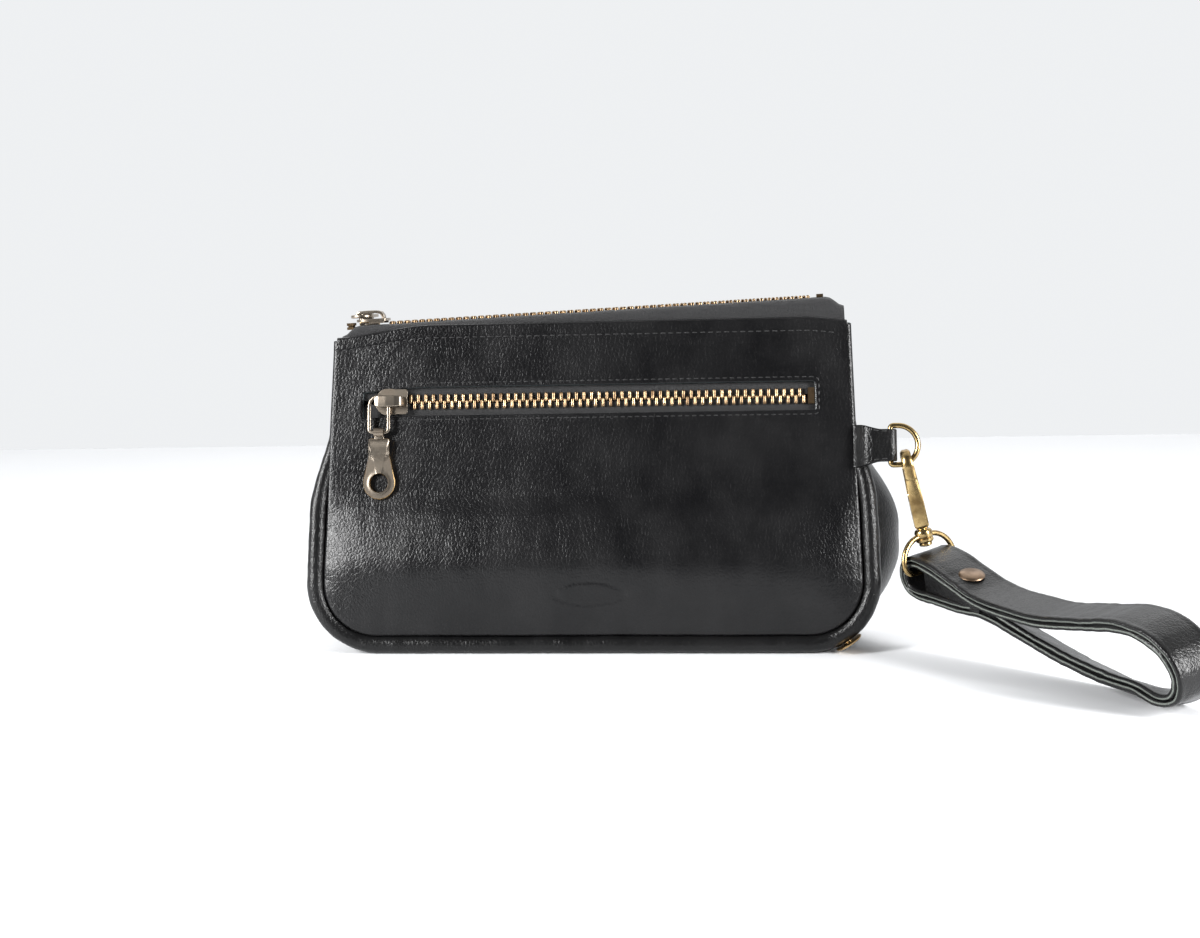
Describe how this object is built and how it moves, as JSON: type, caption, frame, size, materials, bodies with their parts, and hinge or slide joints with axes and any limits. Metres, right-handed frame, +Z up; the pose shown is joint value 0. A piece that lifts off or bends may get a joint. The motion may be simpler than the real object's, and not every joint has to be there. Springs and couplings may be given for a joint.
{
  "type": "wristlet wallet",
  "caption": "Small piped leather wristlet wallet with a top zip, a front zip pocket, a side ring and a clip-on wrist strap.",
  "frame": {"origin": "middle of the flat base, on the surface that the bag stands on", "axes": "+X to the right seen from the front, towards the strap; +Y from the front panel to the rear panel; +Z up"},
  "size_m": [0.3054, 0.1474, 0.1284],
  "materials": {
    "bag_leather": "satin",
    "strap_leather": "satin",
    "lining_cloth": "matte",
    "zip_tape": "matte",
    "zip_teeth": "antique",
    "zip_pull": "antique nickel",
    "antique_brass": "antique",
    "rivet_copper": "satin",
    "spring_steel": "satin"
  },
  "bodies": {
    "bag": {"front_panel": "bag_leather", "rear_panel": "bag_leather", "gusset": "bag_leather", "front_piping": "bag_leather", "rear_piping": "bag_leather", "lining": "lining_cloth", "pocket_bag": "lining_cloth", "main_tape_front": "zip_tape", "main_tape_rear": "zip_tape", "main_teeth_front": "zip_teeth", "main_teeth_rear": "zip_teeth", "main_top_stops": "zip_teeth", "main_bottom_stop": "zip_teeth", "pocket_tape_upper": "zip_tape", "pocket_tape_lower": "zip_tape", "pocket_teeth_upper": "zip_teeth", "pocket_teeth_lower": "zip_teeth", "pocket_end_stop": "zip_teeth", "side_tab": "bag_leather", "corner_stud": "antique_brass"},
    "main_slider": {"main_slider": "zip_pull"},
    "main_bail": {"main_bail": "zip_pull"},
    "main_pull": {"main_pull": "zip_pull"},
    "pocket_slider": {"pocket_slider": "zip_pull"},
    "pocket_bail": {"pocket_bail": "zip_pull"},
    "pocket_pull": {"pocket_pull": "zip_pull"},
    "side_ring": {"side_ring": "antique_brass"},
    "snap_hook": {"snap_hook": "antique_brass", "gate_pin": "antique_brass", "gate_spring": "spring_steel"},
    "hook_gate": {"hook_gate": "antique_brass"},
    "swivel_ring": {"swivel_ring": "antique_brass"},
    "wrist_strap": {"wrist_strap": "strap_leather", "strap_tongue": "strap_leather", "strap_rivet": "rivet_copper"}
  },
  "joints": [
    {"name": "main_zip", "type": "slide", "parent": "bag", "child": "main_slider", "axis": [0.9992, 0, 0.0401], "range_m": [0, 0.154]},
    {"name": "main_bail_swing", "type": "hinge", "parent": "main_slider", "child": "main_bail", "pos_m": [-0.08635, 0, 0.12313], "axis": [-0.0401, 0, 0.9992], "range_deg": [-10, 10]},
    {"name": "main_pull_lift", "type": "hinge", "parent": "main_bail", "child": "main_pull", "pos_m": [-0.08637, 0.01132, 0.12373], "axis": [0.9992, 0, 0.0401], "range_deg": [0, 180]},
    {"name": "pocket_zip", "type": "slide", "parent": "bag", "child": "pocket_slider", "axis": [1, 0, 0], "range_m": [0, 0.142]},
    {"name": "pocket_bail_swing", "type": "hinge", "parent": "pocket_slider", "child": "pocket_bail", "pos_m": [-0.0773, -0.01368, 0.09235], "axis": [0, -0.9848, 0.1736], "range_deg": [-24, 38]},
    {"name": "pocket_pull_lift", "type": "hinge", "parent": "pocket_bail", "child": "pocket_pull", "pos_m": [-0.0773, -0.01624, 0.08131], "axis": [-1, 0, 0], "range_deg": [0, 135]},
    {"name": "side_ring_swing", "type": "hinge", "parent": "bag", "child": "side_ring", "pos_m": [0.1086, -0.0188, 0.07426], "axis": [0, 0.1736, 0.9848], "range_deg": [-40, 15]},
    {"name": "hook_swing", "type": "hinge", "parent": "side_ring", "child": "snap_hook", "pos_m": [0.11427, -0.01989, 0.06807], "axis": [0.9763, 0, 0.2164], "range_deg": [-30, 15]},
    {"name": "gate_press", "type": "hinge", "parent": "snap_hook", "child": "hook_gate", "pos_m": [0.11717, -0.01669, 0.05499], "axis": [0.9763, 0, 0.2164], "range_deg": [0, 18], "stiffness_Nm_per_rad": 0.01, "springref_deg": -11.46},
    {"name": "hook_swivel", "type": "hinge", "parent": "snap_hook", "child": "swivel_ring", "pos_m": [0.12264, -0.01989, 0.03029], "axis": [-0.2164, 0, 0.9763], "range_deg": [-60, 25]},
    {"name": "strap_swing", "type": "hinge", "parent": "swivel_ring", "child": "wrist_strap", "pos_m": [0.12264, -0.01989, 0.03029], "axis": [0.8094, 0.5592, 0.1794], "range_deg": [-28, 15]}
  ]
}
